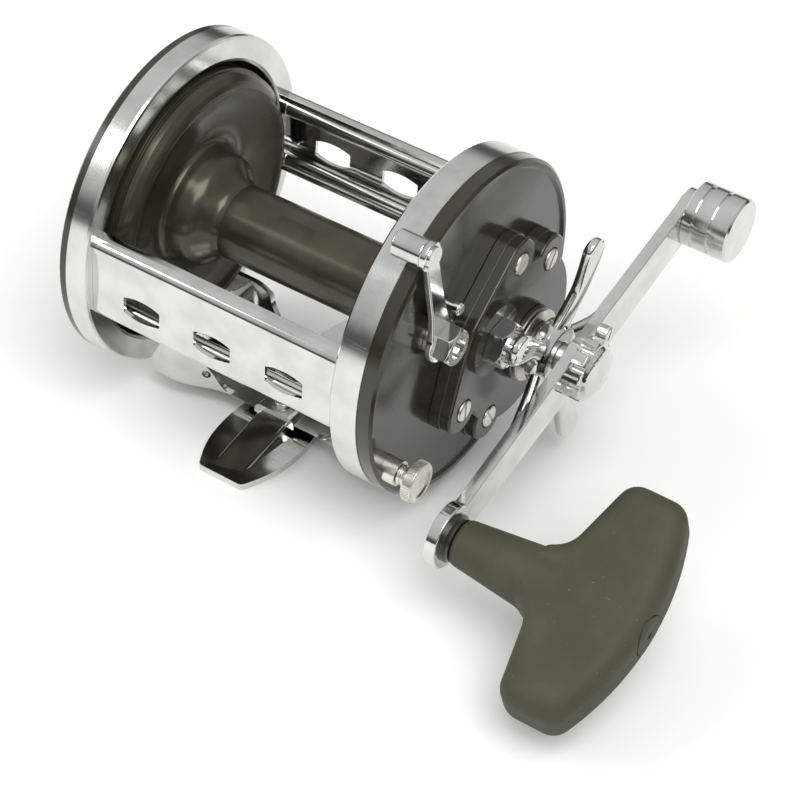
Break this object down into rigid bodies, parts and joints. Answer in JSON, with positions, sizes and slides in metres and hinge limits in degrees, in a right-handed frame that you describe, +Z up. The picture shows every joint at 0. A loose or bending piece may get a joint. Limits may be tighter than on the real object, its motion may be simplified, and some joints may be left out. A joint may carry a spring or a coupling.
{
  "type": "trolling reel",
  "caption": "Star drag trolling reel with ringed side plates, a slotted frame, a wide spool, a clutch lever and a T grip on a counterweighted crank.",
  "frame": {"origin": "middle of the underside of the foot", "axes": "+X along the spool axis towards the crank, +Y towards the rod tip, +Z up from the foot to the spool"},
  "size_m": [0.2023, 0.1686, 0.1054],
  "materials": {
    "chrome_plate": "polished plate",
    "black_plastic": "moulded, glossy",
    "spool_metal": "turned and plated black",
    "grip_rubber": "matte, fine grain",
    "black_collar": "satin",
    "brass": "machined",
    "steel": "turned",
    "fibre": "pressed fibre"
  },
  "bodies": {
    "frame": {"left_ring": "chrome_plate", "right_ring": "chrome_plate", "tail_plate": "black_plastic", "tail_screws": "steel", "handle_plate": "black_plastic", "inner_plate": "brass", "housing_base": "black_plastic", "housing_cover": "black_plastic", "housing_screws": "steel", "front_plate": "chrome_plate", "rear_plate": "chrome_plate", "front_upper_pillar": "chrome_plate", "front_lower_pillar": "chrome_plate", "rear_upper_pillar": "chrome_plate", "rear_lower_pillar": "chrome_plate", "stand": "chrome_plate", "foot": "chrome_plate", "foot_rivets": "steel", "tail_bearing": "steel", "crank_side_bearing": "steel", "shaft_end_bearing": "steel", "yoke_posts": "steel", "yoke_springs": "steel", "stop_pin": "chrome_plate", "thumb_bush": "brass", "dog_pin": "steel"},
    "crank": {"gear_sleeve": "steel", "ratchet": "steel", "main_gear": "brass", "fibre_drag_washers": "fibre", "metal_drag_washers": "steel", "collar_washer": "black_collar", "spring_washers": "steel", "star_spacer": "black_collar", "crank_arm": "chrome_plate", "handle_nut": "chrome_plate", "nut_screw": "steel", "counterweight": "chrome_plate", "weight_rivet": "steel", "grip_spindle": "steel", "grip_collar": "black_collar"},
    "handle_grip": {"grip": "grip_rubber", "grip_plug": "black_collar"},
    "star": {"star_wheel": "chrome_plate"},
    "line_spool": {"spool": "spool_metal", "spool_shaft": "steel", "click_gear": "brass"},
    "lever": {"clutch_lever": "chrome_plate", "lever_knob": "chrome_plate", "lever_shaft": "steel", "lever_nut": "chrome_plate", "clutch_cam": "steel"},
    "clutch_yoke": {"yoke": "brass"},
    "drive_pinion": {"pinion": "steel"},
    "crank_side_cap": {"spool_cap": "chrome_plate"},
    "tail_side_cap": {"tail_cap": "chrome_plate"},
    "take_down_screw": {"thumb_screw": "chrome_plate"},
    "click": {"click_button": "black_plastic", "click_tongue": "steel"},
    "dog": {"anti_reverse_dog": "steel"}
  },
  "joints": [
    {"name": "crank_spin", "type": "hinge", "parent": "frame", "child": "crank", "pos_m": [0, 0.01683, 0.04405], "axis": [1, 0, 0], "continuous": true},
    {"name": "grip_spin", "type": "hinge", "parent": "crank", "child": "handle_grip", "pos_m": [0.1, -0.04649, 0.02767], "axis": [1, 0, 0], "continuous": true},
    {"name": "star_turn", "type": "hinge", "parent": "crank", "child": "star", "pos_m": [0.07, 0.01683, 0.04405], "axis": [1, 0, 0], "range_deg": [-180, 180]},
    {"name": "spool_spin", "type": "hinge", "parent": "frame", "child": "line_spool", "pos_m": [0, 0, 0.0554], "axis": [1, 0, 0], "continuous": true},
    {"name": "lever_turn", "type": "hinge", "parent": "frame", "child": "lever", "pos_m": [0.055, -0.0209, 0.0667], "axis": [1, 0, 0], "range_deg": [0, 50]},
    {"name": "yoke_slide", "type": "slide", "parent": "frame", "child": "clutch_yoke", "axis": [1, 0, 0], "range_m": [0, 0.0018]},
    {"name": "pinion_spin", "type": "hinge", "parent": "clutch_yoke", "child": "drive_pinion", "pos_m": [0.053, 0, 0.0554], "axis": [1, 0, 0], "continuous": true},
    {"name": "crank_side_cap_turn", "type": "hinge", "parent": "frame", "child": "crank_side_cap", "pos_m": [0.064, 0, 0.0554], "axis": [1, 0, 0], "range_deg": [-90, 90]},
    {"name": "tail_side_cap_turn", "type": "hinge", "parent": "frame", "child": "tail_side_cap", "pos_m": [-0.06, 0, 0.0554], "axis": [1, 0, 0], "range_deg": [-90, 90]},
    {"name": "take_down_screw_turn", "type": "hinge", "parent": "frame", "child": "take_down_screw", "pos_m": [0.06, -0.0391, 0.0329], "axis": [1, 0, 0], "range_deg": [-180, 180]},
    {"name": "click_slide", "type": "slide", "parent": "frame", "child": "click", "axis": [0, -0.4695, 0.8829], "range_m": [0, 0.004]},
    {"name": "dog_lift", "type": "hinge", "parent": "frame", "child": "dog", "pos_m": [0.05, 0.01521, 0.02863], "axis": [-1, 0, 0], "range_deg": [0, 12]}
  ],
  "couplings": [
    {"joint": "spool_spin", "follows": "crank_spin", "ratio": -3.1429},
    {"joint": "pinion_spin", "follows": "crank_spin", "ratio": -3.1429},
    {"joint": "yoke_slide", "follows": "lever_turn", "m_per_rad": 0.0020512}
  ]
}
